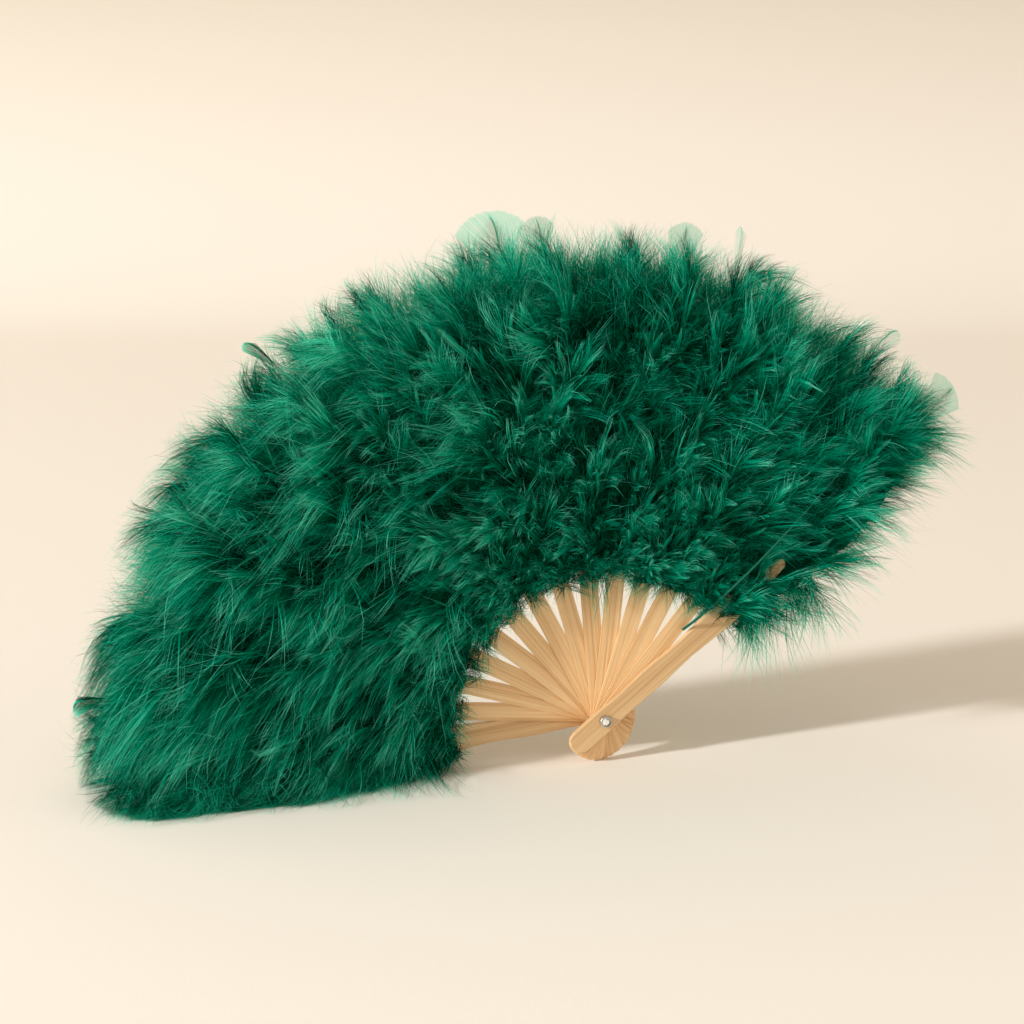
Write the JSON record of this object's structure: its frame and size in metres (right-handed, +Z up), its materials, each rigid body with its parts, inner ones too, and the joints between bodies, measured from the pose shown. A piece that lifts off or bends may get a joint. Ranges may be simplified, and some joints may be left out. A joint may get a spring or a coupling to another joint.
{
  "type": "folding feather fan",
  "caption": "Folding hand fan with bamboo sticks turning on a rhinestone rivet and a thick edge of green down feathers.",
  "frame": {"origin": "centre of the bounding box's base, on the surface that the fan stands on", "axes": "+Z up, +X from the rear guard's side towards the front guard's side along the fan's long side, -Y out of the fan's front, where the front guard and the rhinestone are; the rivet lies along Y"},
  "size_m": [0.432, 0.08, 0.2664],
  "materials": {
    "bamboo": "satin",
    "down": "soft matte, dyed emerald",
    "feather_shaft": "satin",
    "satin": "satin",
    "nickel": "polished",
    "crystal": "cut and foil-backed, so opaque"
  },
  "bodies": {
    "rear_guard": {"rear_guard": "bamboo", "front_plume_00": "down", "rear_plume_00": "down", "ribbon_span_01": "satin", "rivet_pin": "nickel", "rivet_washer": "nickel", "stone_cup": "nickel", "rhinestone": "crystal"},
    "rib_01": {"rib_01": "bamboo", "front_plume_01": "down", "rear_plume_01": "down", "ribbon_span_02": "satin"},
    "rib_02": {"rib_02": "bamboo", "front_plume_02": "down", "rear_plume_02": "down", "ribbon_span_03": "satin"},
    "rib_03": {"rib_03": "bamboo", "front_plume_03": "down", "rear_plume_03": "down", "ribbon_span_04": "satin"},
    "rib_04": {"rib_04": "bamboo", "front_plume_04": "down", "rear_plume_04": "down", "ribbon_span_05": "satin"},
    "rib_05": {"rib_05": "bamboo", "front_plume_05": "down", "rear_plume_05": "down", "ribbon_span_06": "satin"},
    "rib_06": {"rib_06": "bamboo", "front_plume_06": "down", "rear_plume_06": "down", "ribbon_span_07": "satin"},
    "rib_07": {"rib_07": "bamboo", "front_plume_07": "down", "rear_plume_07": "down", "ribbon_span_08": "satin"},
    "rib_08": {"rib_08": "bamboo", "front_plume_08": "down", "rear_plume_08": "down", "ribbon_span_09": "satin"},
    "rib_09": {"rib_09": "bamboo", "front_plume_09": "down", "rear_plume_09": "down", "ribbon_span_10": "satin"},
    "rib_10": {"rib_10": "bamboo", "front_plume_10": "down", "rear_plume_10": "down", "ribbon_span_11": "satin"},
    "rib_11": {"rib_11": "bamboo", "front_plume_11": "down", "rear_plume_11": "down", "ribbon_span_12": "satin"},
    "rib_12": {"rib_12": "bamboo", "front_plume_12": "down", "rear_plume_12": "down", "ribbon_span_13": "satin"},
    "front_guard": {"front_guard": "bamboo", "front_plume_13": "down", "rear_plume_13": "down", "front_quill": "feather_shaft"}
  },
  "joints": [
    {"name": "rib_01_fold", "type": "hinge", "parent": "rear_guard", "child": "rib_01", "pos_m": [0.03617, 0, 0.022], "axis": [0, -1, 0], "range_deg": [0, 11.35], "deforming": ["front_plume_00", "rear_plume_00", "front_plume_01", "rear_plume_01", "ribbon_span_01"]},
    {"name": "rib_02_fold", "type": "hinge", "parent": "rear_guard", "child": "rib_02", "pos_m": [0.03617, 0, 0.022], "axis": [0, -1, 0], "range_deg": [0, 22.69], "deforming": ["front_plume_02", "rear_plume_02", "ribbon_span_02"]},
    {"name": "rib_03_fold", "type": "hinge", "parent": "rear_guard", "child": "rib_03", "pos_m": [0.03617, 0, 0.022], "axis": [0, -1, 0], "range_deg": [0, 34.04], "deforming": ["front_plume_03", "rear_plume_03", "ribbon_span_03"]},
    {"name": "rib_04_fold", "type": "hinge", "parent": "rear_guard", "child": "rib_04", "pos_m": [0.03617, 0, 0.022], "axis": [0, -1, 0], "range_deg": [0, 45.38], "deforming": ["front_plume_04", "rear_plume_04", "ribbon_span_04"]},
    {"name": "rib_05_fold", "type": "hinge", "parent": "rear_guard", "child": "rib_05", "pos_m": [0.03617, 0, 0.022], "axis": [0, -1, 0], "range_deg": [0, 56.73], "deforming": ["front_plume_05", "rear_plume_05", "ribbon_span_05"]},
    {"name": "rib_06_fold", "type": "hinge", "parent": "rear_guard", "child": "rib_06", "pos_m": [0.03617, 0, 0.022], "axis": [0, -1, 0], "range_deg": [0, 68.08], "deforming": ["front_plume_06", "rear_plume_06", "ribbon_span_06"]},
    {"name": "rib_07_fold", "type": "hinge", "parent": "rear_guard", "child": "rib_07", "pos_m": [0.03617, 0, 0.022], "axis": [0, -1, 0], "range_deg": [0, 79.42], "deforming": ["front_plume_07", "rear_plume_07", "ribbon_span_07"]},
    {"name": "rib_08_fold", "type": "hinge", "parent": "rear_guard", "child": "rib_08", "pos_m": [0.03617, 0, 0.022], "axis": [0, -1, 0], "range_deg": [0, 90.77], "deforming": ["front_plume_08", "rear_plume_08", "ribbon_span_08"]},
    {"name": "rib_09_fold", "type": "hinge", "parent": "rear_guard", "child": "rib_09", "pos_m": [0.03617, 0, 0.022], "axis": [0, -1, 0], "range_deg": [0, 102.12], "deforming": ["front_plume_09", "rear_plume_09", "ribbon_span_09"]},
    {"name": "rib_10_fold", "type": "hinge", "parent": "rear_guard", "child": "rib_10", "pos_m": [0.03617, 0, 0.022], "axis": [0, -1, 0], "range_deg": [0, 113.46], "deforming": ["front_plume_10", "rear_plume_10", "ribbon_span_10"]},
    {"name": "rib_11_fold", "type": "hinge", "parent": "rear_guard", "child": "rib_11", "pos_m": [0.03617, 0, 0.022], "axis": [0, -1, 0], "range_deg": [0, 124.81], "deforming": ["front_plume_11", "rear_plume_11", "ribbon_span_11"]},
    {"name": "rib_12_fold", "type": "hinge", "parent": "rear_guard", "child": "rib_12", "pos_m": [0.03617, 0, 0.022], "axis": [0, -1, 0], "range_deg": [0, 136.15], "deforming": ["front_plume_12", "rear_plume_12", "ribbon_span_12"]},
    {"name": "fan_fold", "type": "hinge", "parent": "rear_guard", "child": "front_guard", "pos_m": [0.03617, 0, 0.022], "axis": [0, -1, 0], "range_deg": [0, 147.5], "deforming": ["front_plume_13", "rear_plume_13", "ribbon_span_13"]}
  ],
  "couplings": [
    {"joint": "rib_01_fold", "follows": "fan_fold", "ratio": 0.076923},
    {"joint": "rib_02_fold", "follows": "fan_fold", "ratio": 0.15385},
    {"joint": "rib_03_fold", "follows": "fan_fold", "ratio": 0.23077},
    {"joint": "rib_04_fold", "follows": "fan_fold", "ratio": 0.30769},
    {"joint": "rib_05_fold", "follows": "fan_fold", "ratio": 0.38461},
    {"joint": "rib_06_fold", "follows": "fan_fold", "ratio": 0.46154},
    {"joint": "rib_07_fold", "follows": "fan_fold", "ratio": 0.53846},
    {"joint": "rib_08_fold", "follows": "fan_fold", "ratio": 0.61538},
    {"joint": "rib_09_fold", "follows": "fan_fold", "ratio": 0.69231},
    {"joint": "rib_10_fold", "follows": "fan_fold", "ratio": 0.76923},
    {"joint": "rib_11_fold", "follows": "fan_fold", "ratio": 0.84615},
    {"joint": "rib_12_fold", "follows": "fan_fold", "ratio": 0.92308}
  ]
}
